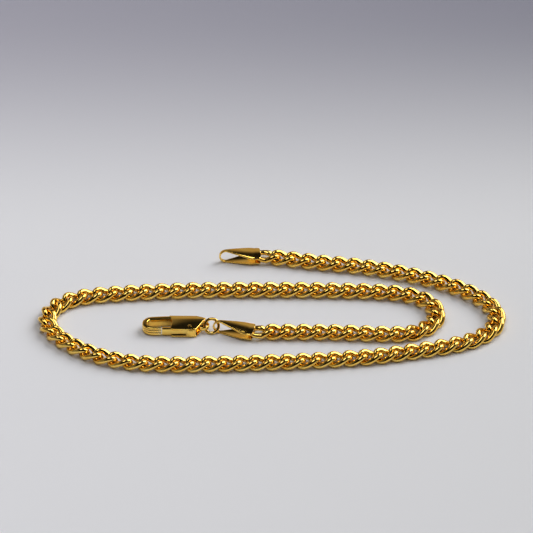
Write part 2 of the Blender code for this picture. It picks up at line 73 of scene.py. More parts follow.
# ---- Finishes ----------------------------------------------------------------------------------------
class NodeBoard:
    """The nodes of one material or world, added and joined in a few words."""

    def __init__(self, tree: bpy.types.NodeTree) -> None:
        """Starts on an empty board.

        Args:
            tree: the node tree that the nodes go in.
        """
        self.tree = tree
        tree.nodes.clear()

    def add(self, kind: str, settings: Optional[dict] = None, **sockets: object) -> bpy.types.Node:
        """Adds a node.

        Args:
            kind: the node's type, such as ShaderNodeTexNoise.
            settings: the node's own properties by name.
            sockets: input values by socket name, with _ for a blank; a socket here is joined instead.

        Returns:
            The new node.
        """
        node = self.tree.nodes.new(kind)
        for key, value in (settings or {}).items():
            setattr(node, key, value)
        for key, value in sockets.items():
            socket = node.inputs[key.replace("_", " ")]
            if isinstance(value, bpy.types.NodeSocket):
                self.join(value, socket)
            else:
                socket.default_value = value
        return node

    def join(self, source: bpy.types.NodeSocket, target: bpy.types.NodeSocket) -> None:
        """Joins an output to an input."""
        self.tree.links.new(source, target)

    def scaled(self, value: bpy.types.NodeSocket, low: float, high: float, start: float = 0.0,
               end: float = 1.0) -> bpy.types.NodeSocket:
        """Spreads a value over a new range.

        Args:
            value: the output to spread.
            low: the result at start.
            high: the result at end.
            start: the value that becomes low.
            end: the value that becomes high.

        Returns:
            The spread value's socket.
        """
        node = self.add("ShaderNodeMapRange", Value=value, From_Min=start, From_Max=end, To_Min=low,
                        To_Max=high)
        return node.outputs["Result"]

    def eased(self, value: bpy.types.NodeSocket, reach: Span) -> bpy.types.NodeSocket:
        """Turns a value into a smooth rise from 0 to 1.

        Args:
            value: the output to turn.
            reach: the values where the rise starts and ends.

        Returns:
            The rise's socket.
        """
        node = self.add("ShaderNodeMapRange", {"interpolation_type": "SMOOTHSTEP"}, Value=value,
                        From_Min=reach[0], From_Max=reach[1])
        return node.outputs["Result"]

    def mixed(self, factor: object, first: object, second: object,
              blend: str = "MIX") -> bpy.types.NodeSocket:
        """Mixes two colours.

        Args:
            factor: how much of the second colour, as a number or a socket.
            first: the first colour.
            second: the second colour.
            blend: the way they mix.

        Returns:
            The mixed colour's socket.
        """
        node = self.tree.nodes.new("ShaderNodeMix")
        node.data_type = "RGBA"
        node.blend_type = blend
        for index, value in ((0, factor), (6, first), (7, second)):
            if isinstance(value, bpy.types.NodeSocket):
                self.join(value, node.inputs[index])
            elif isinstance(value, tuple):
                node.inputs[index].default_value = (*value, 1.0)
            else:
                node.inputs[index].default_value = value
        return node.outputs[2]

    def maths(self, operation: str, *values: bpy.types.NodeSocket) -> bpy.types.NodeSocket:
        """Works on values with a math node.

        Args:
            operation: what it does, such as ADD or ABSOLUTE.
            values: its inputs.

        Returns:
            The result's socket.
        """
        node = self.add("ShaderNodeMath", {"operation": operation})
        for value, socket in zip(values, node.inputs):
            self.join(value, socket)
        return node.outputs[0]

    def surface(self, shader: bpy.types.Node, output: str = "ShaderNodeOutputMaterial") -> None:
        """Makes a shader the surface of the material or world.

        Args:
            shader: the shader's node.
            output: the type of the output node.
        """
        self.join(shader.outputs[0], self.add(output).inputs["Surface"])


def blank_material(name: str) -> tuple[bpy.types.Material, NodeBoard]:
    """Makes an empty material.

    Args:
        name: its name.

    Returns:
        The material, and the board for its nodes.
    """
    made = bpy.data.materials.new(name)
    made.use_nodes = True
    return made, NodeBoard(made.node_tree)


@dataclass(frozen=True)
class PolishedGold:
    """Polished yellow gold with fine polishing lines, a few pits and brighter worn edges.

    A scale is how fine a pattern is, and a reach is where a pattern's effect starts and is full.
    """

    name: str = "polished_gold"
    colour: Colour = (0.99, 0.71, 0.20)
    deep_colour: Colour = (0.95, 0.61, 0.13)
    worn_colour: Colour = (1.0, 0.84, 0.46)
    tone_scale: float = 420.0
    tone_reach: Span = (0.40, 0.66)
    roughness: float = 0.07
    roughness_spread: float = 0.07
    worn_roughness: float = 0.03
    haze_scale: float = 1900.0
    haze_reach: Span = (0.3, 0.75)
    line_scale: Triple = (700.0, 9000.0, 5200.0)
    line_turn: Triple = (0.2, 0.5, 0.6)
    line_strength: float = 0.5
    line_depth: float = 0.0015 * MM
    pit_scale: float = 2600.0
    pit_reach: Span = (0.05, 0.16)
    pit_strength: float = 0.25
    pit_depth: float = 0.004 * MM

    def material(self) -> bpy.types.Material:
        """Makes the gold.

        Returns:
            The material.
        """
        made, board = blank_material(self.name)
        place = board.add("ShaderNodeTexCoord").outputs["Object"]
        tone = board.add("ShaderNodeTexNoise", Vector=place, Scale=self.tone_scale, Detail=3.0,
                         Roughness=0.55)
        tone_share = board.scaled(tone.outputs["Fac"], 0.0, 1.0, *self.tone_reach)
        colour = board.mixed(tone_share, self.colour, self.deep_colour)
        worn = board.add("ShaderNodeAttribute", {"attribute_name": WEAR}).outputs["Fac"]
        colour = board.mixed(worn, colour, self.worn_colour)

        haze = board.add("ShaderNodeTexNoise", Vector=place, Scale=self.haze_scale, Detail=2.0,
                         Roughness=0.5)
        rough = board.scaled(haze.outputs["Fac"], self.roughness, self.roughness + self.roughness_spread,
                             *self.haze_reach)
        rough = board.maths("ADD", rough, board.scaled(worn, 0.0, self.worn_roughness))

        pits = board.add("ShaderNodeTexVoronoi", Vector=place, Scale=self.pit_scale, Randomness=1.0)
        pit = board.scaled(pits.outputs["Distance"], 0.0, 1.0, *self.pit_reach)
        pitted = board.add("ShaderNodeBump", Strength=self.pit_strength, Distance=self.pit_depth,
                           Height=pit)
        stretched = board.add("ShaderNodeMapping", Vector=place, Scale=self.line_scale,
                              Rotation=self.line_turn)
        lines = board.add("ShaderNodeTexNoise", Vector=stretched.outputs["Vector"], Scale=1.0,
                          Detail=2.0, Roughness=0.6)
        lined = board.add("ShaderNodeBump", Strength=self.line_strength, Distance=self.line_depth,
                          Height=lines.outputs["Fac"], Normal=pitted.outputs["Normal"])
        board.surface(board.add("ShaderNodeBsdfPrincipled", Base_Color=colour, Metallic=1.0,
                                Roughness=rough, Normal=lined.outputs["Normal"]))
        return made


@dataclass(frozen=True)
class SpringSteel:
    """Rolled spring steel, with lines along the strip."""

    name: str = "spring_steel_strip"
    colour: Colour = (0.56, 0.56, 0.57)
    dull_colour: Colour = (0.40, 0.39, 0.38)
    dull_reach: Span = (0.35, 0.7)
    roughness: float = 0.24
    roughness_spread: float = 0.18
    roughness_reach: Span = (0.3, 0.7)
    line_scale: Triple = (900.0, 900.0, 14000.0)
    line_strength: float = 0.4
    line_depth: float = 0.002 * MM

    def material(self) -> bpy.types.Material:
        """Makes the steel.

        Returns:
            The material.
        """
        made, board = blank_material(self.name)
        place = board.add("ShaderNodeTexCoord").outputs["Object"]
        stretched = board.add("ShaderNodeMapping", Vector=place, Scale=self.line_scale)
        noise = board.add("ShaderNodeTexNoise", Vector=stretched.outputs["Vector"], Scale=1.0,
                          Detail=3.0, Roughness=0.6)
        lines = noise.outputs["Fac"]
        colour = board.mixed(board.scaled(lines, 0.0, 1.0, *self.dull_reach), self.colour,
                             self.dull_colour)
        rough = board.scaled(lines, self.roughness, self.roughness + self.roughness_spread,
                             *self.roughness_reach)
        lined = board.add("ShaderNodeBump", Strength=self.line_strength, Distance=self.line_depth,
                          Height=lines)
        board.surface(board.add("ShaderNodeBsdfPrincipled", Base_Color=colour, Metallic=1.0,
                                Roughness=rough, Normal=lined.outputs["Normal"]))
        return made


@dataclass(frozen=True)
class PaleTable:
    """A smooth pale table with painted shade: darker to the right, and darker and cooler towards the back,
    where less light falls.
    """

    name: str = "pale_table"
    colour: Colour = (0.80, 0.812, 0.855)
    # Painted shade: the colour at the right side, darker where less of the lamps' light falls.
    right_shaded_colour: Colour = (0.70, 0.712, 0.742)
    # Painted shade: darker, cooler colours towards the back, darkest at the back right.
    back_shaded_colour: Colour = (0.425, 0.423, 0.495)
    back_right_shaded_colour: Colour = (0.285, 0.288, 0.345)
    back_reach: Span = (22 * MM, 112 * MM)
    right_reach: Span = (-60 * MM, 60 * MM)
    mottle_colour: Colour = (0.5, 0.5, 0.52)
    mottle_scale: float = 90.0
    mottle_share: float = 0.02
    grain_scale: float = 1500.0
    grain_strength: float = 0.1
    grain_depth: float = 0.01 * MM
    roughness: float = 0.75
    gloss: float = 0.2

    def material(self) -> bpy.types.Material:
        """Makes the table's surface.

        Returns:
            The material.
        """
        made, board = blank_material(self.name)
        place = board.add("ShaderNodeTexCoord").outputs["Object"]
        apart = board.add("ShaderNodeSeparateXYZ", Vector=place)
        # Painted shade: the table's colour darkens to the right and towards the back, standing in for the
        # fall of the light.
        right = board.scaled(apart.outputs["X"], 0.0, 1.0, *self.right_reach)
        near_side = board.mixed(right, self.colour, self.right_shaded_colour)
        far_side = board.mixed(right, self.back_shaded_colour, self.back_right_shaded_colour)
        colour = board.mixed(board.eased(apart.outputs["Y"], self.back_reach), near_side, far_side)
        mottle = board.add("ShaderNodeTexNoise", Vector=place, Scale=self.mottle_scale, Detail=3.0)
        shade = board.scaled(mottle.outputs["Fac"], 0.0, self.mottle_share)
        colour = board.mixed(shade, colour, self.mottle_colour)
        grain = board.add("ShaderNodeTexNoise", Vector=place, Scale=self.grain_scale, Detail=2.0)
        rough = board.add("ShaderNodeBump", Strength=self.grain_strength, Distance=self.grain_depth,
                          Height=grain.outputs["Fac"])
        shader = board.add("ShaderNodeBsdfPrincipled", Base_Color=colour, Roughness=self.roughness,
                           Normal=rough.outputs["Normal"])
        shader.inputs["Specular IOR Level"].default_value = self.gloss
        board.surface(shader)
        return made


# ---- Shapes --------------------------------------------------------------------------------------------
def skin(rings: list[list[Vector]], closed: bool) -> bmesh.types.BMesh:
    """Skins a row of rings.

    Args:
        rings: rings of points, all with the same number.
        closed: whether the last ring meets the first; if not, both ends get a cap.

    Returns:
        The new mesh, with its faces pointing out.
    """
    bm = bmesh.new()
    rows = [[bm.verts.new(point) for point in ring] for ring in rings]
    count = len(rows)
    for i in range(count if closed else count - 1):
        here, there = rows[i], rows[(i + 1) % count]
        for j in range(len(here)):
            k = (j + 1) % len(here)
            bm.faces.new((here[j], here[k], there[k], there[j]))
    if not closed:
        bm.faces.new(rows[0][::-1])
        bm.faces.new(rows[-1])
    bmesh.ops.recalc_face_normals(bm, faces=bm.faces)
    return bm


def arc(centre: tuple[float, float], radius: float, start: float, end: float, steps: int) -> Outline:
    """Points on an arc.

    Args:
        centre: its centre.
        radius: its radius.
        start: its first angle.
        end: its last angle.
        steps: how many steps it has.

    Returns:
        The points, both ends among them.
    """
    angles = [start + (end - start) * i / steps for i in range(steps + 1)]
    return [(centre[0] + radius * math.cos(t), centre[1] + radius * math.sin(t)) for t in angles]


def rounded_section(width: float, height: float, radius: float, steps: int = 3) -> Outline:
    """A rectangle with round corners, about its middle.

    Args:
        width: its size in the first direction.
        height: its size in the second.
        radius: the corners' radius.
        steps: steps in each corner.

    Returns:
        Its points, anticlockwise.
    """
    points: Outline = []
    corners = ((1, 1, 0.0), (-1, 1, 0.5), (-1, -1, 1.0), (1, -1, 1.5))
    for sx, sy, turn in corners:
        centre = (sx * (width / 2 - radius), sy * (height / 2 - radius))
        points += arc(centre, radius, turn * math.pi, (turn + 0.5) * math.pi, steps)
    return points


def beside(corner: Point, offsets: tuple[Point, ...]) -> Outline:
    """Points at given offsets from a corner."""
    return [(corner[0] + x, corner[1] + y) for x, y in offsets]


def cut_long_sides(outline: Outline, cuts: int = 10) -> Outline:
    """A closed outline with its two longest sides cut into equal stretches.

    Args:
        outline: its points.
        cuts: how many stretches each of the two sides gets.

    Returns:
        The points, with the new ones among them.
    """
    ends = outline[1:] + outline[:1]
    order = sorted(range(len(outline)), key=lambda i: -math.dist(outline[i], ends[i]))
    points: Outline = []
    for i, ((x, y), (next_x, next_y)) in enumerate(zip(outline, ends)):
        points.append((x, y))
        if i in order[:2]:
            points += [(x + (next_x - x) * k / cuts, y + (next_y - y) * k / cuts)
                       for k in range(1, cuts)]
    return points


def crown_slab(bm: bmesh.types.BMesh, half: float, bow: float, strips: int = 12) -> None:
    """Bends the upper and lower faces of a slab so that they are highest along the middle.

    Args:
        bm: the slab, with x along it.
        half: its half width.
        bow: how much lower its edges get.
        strips: how many strips it is cut into, so that it can bend.
    """
    for i in range(1, strips):
        level = half * (2 * i / strips - 1)
        geometry = bm.verts[:] + bm.edges[:] + bm.faces[:]
        bmesh.ops.bisect_plane(bm, geom=geometry, dist=CUT_TOLERANCE, plane_co=(0, level, 0),
                               plane_no=(0, 1, 0))
    for vert in bm.verts:
        vert.co.z -= bow * (vert.co.y / half) ** 2


def rounded_slab(outline: Outline, low: float, high: float, edge: float) -> bmesh.types.BMesh:
    """A slab with rounded edges.

    Args:
        outline: its outline in x and y.
        low: the height of its lower face.
        high: the height of its upper face.
        edge: how far the rounding reaches.

    Returns:
        The new mesh.
    """
    bm = bmesh.new()
    base = bm.faces.new([bm.verts.new((x, y, low)) for x, y in outline])
    grown = bmesh.ops.extrude_face_region(bm, geom=[base])
    raised = [item for item in grown["geom"] if isinstance(item, bmesh.types.BMVert)]
    bmesh.ops.translate(bm, vec=(0, 0, high - low), verts=raised)
    bmesh.ops.recalc_face_normals(bm, faces=bm.faces)
    least_turn = math.radians(28)
    sharp = [e for e in bm.edges if e.calc_face_angle(0.0) > least_turn]
    bmesh.ops.bevel(bm, geom=sharp, offset=edge, segments=3, profile=0.5, affect="EDGES",
                    clamp_overlap=True)
    return bm


def swept_bar(path: Outline, section: Outline) -> bmesh.types.BMesh:
    """A bar along a path that lies flat.

    Args:
        path: its centre line in x and y.
        section: its section, across and up.

    Returns:
        The new mesh.
    """
    points = [Vector((x, y)) for x, y in path]
    rings = []
    for i, point in enumerate(points):
        run = (points[min(i + 1, len(points) - 1)] - points[max(i - 1, 0)]).normalized()
        side = Vector((-run.y, run.x))
        rings.append([Vector((point.x + side.x * a, point.y + side.y * a, z)) for a, z in section])
    return skin(rings, closed=False)


def mark_wear(mesh: bpy.types.Mesh, bm: bmesh.types.BMesh) -> None:
    """Stores how exposed each vertex is, from 0 in a smooth face to 1 on an edge.

    Args:
        mesh: the mesh that gets the attribute.
        bm: the same mesh, with its faces' normals.
    """
    flat_enough, full_wear = 0.035, 0.16
    values = []
    for vert in bm.verts:
        faces = vert.link_faces
        turned = max((1 - vert.normal.dot(face.normal) for face in faces), default=0.0)
        values.append(min(max((turned - flat_enough) / (full_wear - flat_enough), 0.0), 1.0))
    attribute = mesh.attributes.new(WEAR, "FLOAT", "POINT")
    attribute.data.foreach_set("value", values)


@dataclass(frozen=True)
class Seat:
    """Where a piece belongs: the CAD body it rides on, the CAD nodes it stands for, and its slot."""

    body: str
    nodes: tuple[str, ...]
    slot: str = GOLD_SLOT


def add_piece(name: str, bm: bmesh.types.BMesh, place: Matrix, look: bpy.types.Material,
              seat: Seat, sharp_angle: float = 50.0) -> bpy.types.Object:
    """Makes a piece and puts it on its body.

    Args:
        name: the piece's name.
        bm: its mesh, in its own frame; it is used up.
        place: its own frame in the row frame.
        look: its material.
        seat: where it belongs.
        sharp_angle: edges turned more than this, in degrees, stay sharp.

    Returns:
        The new object.
    """
    bm.transform(place)
    bm.normal_update()
    mesh = bpy.data.meshes.new(name)
    bm.to_mesh(mesh)
    mark_wear(mesh, bm)
    bm.free()
    mesh.shade_smooth()
    mesh.set_sharp_from_angle(angle=math.radians(sharp_angle))
    mesh.materials.append(look)
    piece = bpy.data.objects.new(name, mesh)
    bpy.context.scene.collection.objects.link(piece)
    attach(piece, seat.body)
    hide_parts(*seat.nodes)
    return piece


# ---- Chain -----------------------------------------------------------------------------------------------
@dataclass
class ChainLayout:
    """The route of the chain on the table and the points between its links."""

    link_count: int = 91
    pitch: float = 2.91 * MM
    steps_between: int = 24
    halvings: int = 40
    route: tuple[tuple[float, float], ...] = (
        (-0.8, 20.3), (9.7, 18.2), (18.4, 16.7), (26.8, 14.2), (34.8, 10.6), (40.3, 6.3),
        (42.9, 1.7), (42.5, -2.9), (39.0, -6.6), (34.0, -8.7), (28.0, -10.3), (20.4, -12.0),
        (11.7, -13.1), (2.9, -13.8), (-8.8, -14.4), (-18.7, -14.5), (-27.0, -13.3),
        (-33.2, -10.3), (-37.9, -6.2), (-40.4, -1.2), (-38.9, 3.7), (-34.4, 6.7), (-26.0, 8.1),
        (-14.1, 9.0), (-2.2, 9.2), (9.7, 9.1), (19.3, 8.7), (25.2, 8.0), (29.5, 6.1),
        (31.9, 2.5), (31.1, -1.9), (27.5, -4.6), (22.6, -5.0), (14.5, -4.5), (6.0, -4.3),
        (-1.6, -4.3),
    )
    first_hinge: str = "link_hinge_01"
    first_hinge_knuckle: int = 2
    height: float = field(init=False)
    knuckles: list[Vector] = field(init=False)

    def __post_init__(self) -> None:
        """Sets the chain out and moves it to where the frame's first hinge is."""
        joint = next(j for j in frame["joints"] if j["name"] == self.first_hinge)
        anchor = Vector(joint["pos_m"])
        self.height = anchor.z
        places = self.walk(self.smooth_route())
        shift = anchor - places[self.first_hinge_knuckle]
        self.knuckles = [Vector((p.x + shift.x, p.y + shift.y, 0)) for p in places]

    def smooth_route(self) -> list[Vector]:
        """A smooth curve through the route, scaled so that the chain just fills it.

        Returns:
            Closely spaced points.
        """
        points = [Vector((x, y, 0)) for x, y in self.route]
        points = [2 * points[0] - points[1]] + points + [2 * points[-1] - points[-2]]
        curve = []
        for p0, p1, p2, p3 in zip(points, points[1:], points[2:], points[3:]):
            for i in range(self.steps_between):
                t = i / self.steps_between
                curve.append(
                    0.5 * (2 * p1 + (p2 - p0) * t + (2 * p0 - 5 * p1 + 4 * p2 - p3) * t**2
                           + (3 * p1 - p0 - 3 * p2 + p3) * t**3)
                )
        curve.append(points[-2])
        length = sum((b - a).length for a, b in zip(curve, curve[1:]))
        scale = self.link_count * self.pitch / length
        return [point * scale for point in curve]

    def walk(self, curve: list[Vector]) -> list[Vector]:
        """Points one pitch apart along a curve; the last stretch is run on straight.

        Args:
            curve: closely spaced points.

        Returns:
            One point more than there are links.
        """
        places = [curve[0]]
        i = 0
        while len(places) <= self.link_count:
            here = places[-1]
            while i < len(curve) - 1 and (curve[i + 1] - here).length < self.pitch:
                i += 1
            if i == len(curve) - 1:
                places.append(here + (curve[-1] - curve[-2]).normalized() * self.pitch)
                continue
            low, high = 0.0, 1.0
            for _ in range(self.halvings):
                middle = (low + high) / 2
                if (curve[i].lerp(curve[i + 1], middle) - here).length < self.pitch:
                    low = middle
                else:
                    high = middle
            places.append(curve[i].lerp(curve[i + 1], high))
        return places

    def link_place(self, number: int) -> Matrix:
        """The frame of a link, with its length along x.

        Args:
            number: the link's number, from 1 at the far end.

        Returns:
            Its frame in the row frame.
        """
        start, end = self.knuckles[number - 1], self.knuckles[number]
        turn = math.atan2(end.y - start.y, end.x - start.x)
        middle = (start + end) / 2
        return Matrix.Translation((middle.x, middle.y, self.height)) @ Matrix.Rotation(turn, 4, "Z")

    def end_place(self, at_clasp: bool, yaw: float) -> Matrix:
        """The frame at an end of the chain, on the table, with x pointing away from the chain.

        Args:
            at_clasp: whether it is the end with the clasp.
            yaw: how far x is turned from the last link's direction.

        Returns:
            The frame.
        """
        last, before = (-1, -2) if at_clasp else (0, 1)
        run = self.knuckles[last] - self.knuckles[before]
        place = Matrix.Translation(self.knuckles[last])
        return place @ Matrix.Rotation(math.atan2(run.y, run.x) + yaw, 4, "Z")


class LinkKind(Enum):
    """Which end bar of a link lies flat, inside a tag."""

    FAR_END = -1
    PLAIN = 0
    CLASP_END = 1


@dataclass
class CurbLinks:
    """The twisted links, each bent from round wire."""

    layout: ChainLayout
    look: bpy.types.Material
    wire: float = 1.00 * MM
    play: float = 0.17 * MM
    side_room: float = 0.30 * MM
    twist: float = math.radians(-55.0)
    fullness: float = 0.80
    swell: float = 0.30 * MM
    swell_reach: float = 1.00 * MM
    steps: int = 44
    sides: int = 16

    @property
    def half_length(self) -> float:
        """Half length of the wire's centre line."""
        return (self.layout.pitch + self.wire + self.play) / 2

    @property
    def half_width(self) -> float:
        """Half width of the wire's centre line."""
        return self.wire + self.side_room

    def kind(self, number: int) -> LinkKind:
        """What kind of link a number is.

        Args:
            number: the link's number, from 1 at the far end.

        Returns:
            Its kind.
        """
        if number == 1:
            return LinkKind.FAR_END
        return LinkKind.CLASP_END if number == self.layout.link_count else LinkKind.PLAIN

    def fuller(self, share: float) -> float:
        """A sine or cosine pushed outwards, which makes an oval squarer."""
        return math.copysign(abs(share) ** self.fullness, share)

    def centre_line(self, kind: LinkKind) -> list[Vector]:
        """The wire's centre line: a full oval whose end bars are turned against each other.

        Args:
            kind: which end bar, if any, stays flat.

        Returns:
            Points round the oval.
        """
        line = []
        for i in range(self.steps):
            turn = 2 * math.pi * i / self.steps
            x = self.half_length * self.fuller(math.cos(turn))
            across = self.half_width * self.fuller(math.sin(turn))
            lean = 0.0 if x * kind.value > 0 else self.twist * x / self.half_length
            line.append(Vector((x, across * math.cos(lean), across * math.sin(lean))))
        return line

    def mesh(self, kind: LinkKind) -> bmesh.types.BMesh:
        """One link about its own centre.

        Args:
            kind: the kind of link.

        Returns:
            Its mesh.
        """
        line = self.centre_line(kind)
        rings = []
        for i, point in enumerate(line):
            along = (line[(i + 1) % self.steps] - line[i - 1]).normalized()
            outward = (point - point.dot(along) * along).normalized()
            up = outward.cross(along)
            near_middle = min(abs(point.x) / self.swell_reach, 1.0)
            inward = self.wire / 2 + self.swell * math.cos(math.pi / 2 * near_middle) ** 2
            ring = []
            for j in range(self.sides):
                turn = 2 * math.pi * j / self.sides
                reach = self.wire / 2 if math.cos(turn) > 0 else inward
                ring.append(point + reach * math.cos(turn) * outward
                            + self.wire / 2 * math.sin(turn) * up)
            rings.append(ring)
        return skin(rings, closed=True)

    def seat(self, number: int) -> Seat:
        """Where a link belongs.

        Args:
            number: the link's number, from 1 at the far end.

        Returns:
            The CAD pair that holds it.
        """
        pair = (number + 1) // 2
        alone = number == self.layout.link_count
        name = f"end_link_{pair:02d}" if alone else f"link_pair_{pair:02d}"
        return Seat(body=name, nodes=(name,))

    def build(self) -> list[bpy.types.Object]:
        """Makes all links.

        Returns:
            The links, from the far end.
        """
        return [
            add_piece(f"link_{number:02d}", self.mesh(self.kind(number)),
                      self.layout.link_place(number), self.look, self.seat(number))
            for number in range(1, self.layout.link_count + 1)
        ]


@dataclass
class FoldedTag:
    """A strip folded round the end bar of the last link, which leaves a loop at its other end."""

    name: str
    place: Matrix
    seat: Seat
    look: bpy.types.Material
    bar_height: float
    bar: float = 1.00 * MM
    bar_reach: float = 0.585 * MM
    length: float = 7.8 * MM
    strip: float = 0.28 * MM
    loop_height: float = 2.7 * MM
    narrow: float = 0.65 * MM
    wide: float = 3.7 * MM
    grip: float = 0.04 * MM
    corner: float = 0.45 * MM
    edge: float = 0.10 * MM
    full_width_length: float = 1.95 * MM
    crown: float = 0.22 * MM
    leaf_steps: int = 8
    slope_steps: int = 10
    loop_steps: int = 32

    def centre_line(self) -> list[Vector]:
        """The strip's centre line in the tag's x and z, from the lower leaf round to the upper.

        Returns:
            Its points.
        """
        radius = (self.loop_height - self.strip) / 2
        centre = Vector((self.length - self.loop_height / 2, self.loop_height / 2))
        apart = self.bar / 2 + self.grip + self.strip / 2
        grip_end = self.bar_reach + self.bar / 2
        leaves, touches = [], []
        for sign in (-1, 1):
            level = self.bar_height + sign * apart
            bend = Vector((grip_end, level))
            reach = centre - bend
            lean = math.atan2(reach.y, reach.x) + sign * math.asin(radius / reach.length)
            touches.append(lean + sign * math.pi / 2)
            flat = [Vector((grip_end * i / self.leaf_steps, level)) for i in range(self.leaf_steps)]
            leaves.append(flat + [bend])
        loop = [Vector(p) for p in arc(tuple(centre), radius, *touches, self.loop_steps)]
        slopes = []
        for leaf, meet in ((leaves[0], loop[0]), (leaves[1], loop[-1])):
            slopes.append([leaf[-1].lerp(meet, i / self.slope_steps)
                           for i in range(1, self.slope_steps)])
        return leaves[0] + slopes[0] + loop + slopes[1][::-1] + leaves[1][::-1]

    def width(self, x: float) -> float:
        """Width of the strip at a distance from the chain's end, with round outer corners.

        Args:
            x: the distance.

        Returns:
            The width.
        """
        narrow_from = self.length - self.loop_height / 2
        share = (x - self.full_width_length) / (narrow_from - self.full_width_length)
        share = min(max(share, 0.0), 1.0)
        wide = self.wide + (self.narrow - self.wide) * share
        short = max(self.corner - x, 0.0)
        return wide - 2 * (self.corner - math.sqrt(max(self.corner**2 - short**2, 0.0)))

    def build(self) -> bpy.types.Object:
        """Makes the tag.

        Returns:
            The tag.
        """
        line = self.centre_line()
        rings = []
        for i, point in enumerate(line):
            run = (line[min(i + 1, len(line) - 1)] - line[max(i - 1, 0)]).normalized()
            normal = Vector((-run.y, run.x))
            width = self.width(point.x)
            section = cut_long_sides(rounded_section(width, self.strip, self.edge))
            side = math.copysign(1.0, point.y - self.loop_height / 2)
            bow = self.crown * min(width / self.wide, 1.0) ** 2
            rings.append([
                Vector((point.x + normal.x * up, across,
                        point.y + normal.y * up - side * bow * (2 * across / width) ** 2))
                for across, up in section
            ])
        return add_piece(self.name, skin(rings, closed=False), self.place, self.look, self.seat)


# ---- Jump ring -------------------------------------------------------------------------------------------
@dataclass
class JumpRing:
    """The ring that joins the near tag and the clasp."""

    end: Matrix
    look: bpy.types.Material
    outer: float = 3.2 * MM
    wire: float = 0.56 * MM
    tilt: float = math.radians(50.0)
    split: float = 0.05 * MM
    slack: float = 0.50 * MM
    steps: int = 64
    sides: int = 18

    @property
    def radius(self) -> float:
        """Radius of the wire's centre line."""
        return (self.outer - self.wire) / 2

    @property
    def height(self) -> float:
        """Height of the ring's centre above the table."""
        return self.radius * math.sin(self.tilt) + self.wire / 2

    def place(self, tag: FoldedTag) -> Matrix:
        """The ring's frame, hanging in a tag's loop.

        Args:
            tag: the tag.

        Returns:
            The frame.
        """
        x = tag.length - tag.strip - self.slack - self.wire / 2 + self.radius
        return (
            Matrix.Translation((0, 0, self.height))
            @ self.end
            @ Matrix.Translation((x, 0, 0))
            @ Matrix.Rotation(math.pi - self.tilt, 4, "X")
        )

    def build(self, tag: FoldedTag) -> bpy.types.Object:
        """Makes the ring, cut through once at its upper side.

        Args:
            tag: the tag that it hangs in.

        Returns:
            The ring.
        """
        half_gap = self.split / 2 / self.radius
        start, end = -math.pi / 2 + half_gap, 1.5 * math.pi - half_gap
        rings = []
        for i in range(self.steps + 1):
            turn = start + (end - start) * i / self.steps
            out = Vector((math.cos(turn), math.sin(turn), 0))
            rings.append([
                out * (self.radius + self.wire / 2 * math.cos(t))
                + Vector((0, 0, self.wire / 2 * math.sin(t)))
                for t in (2 * math.pi * j / self.sides for j in range(self.sides))
            ])
        bm = skin(rings, closed=False)
        seat = Seat("jump_ring", ("jump_ring",))
        return add_piece("jump_ring_wire", bm, self.place(tag), self.look, seat)


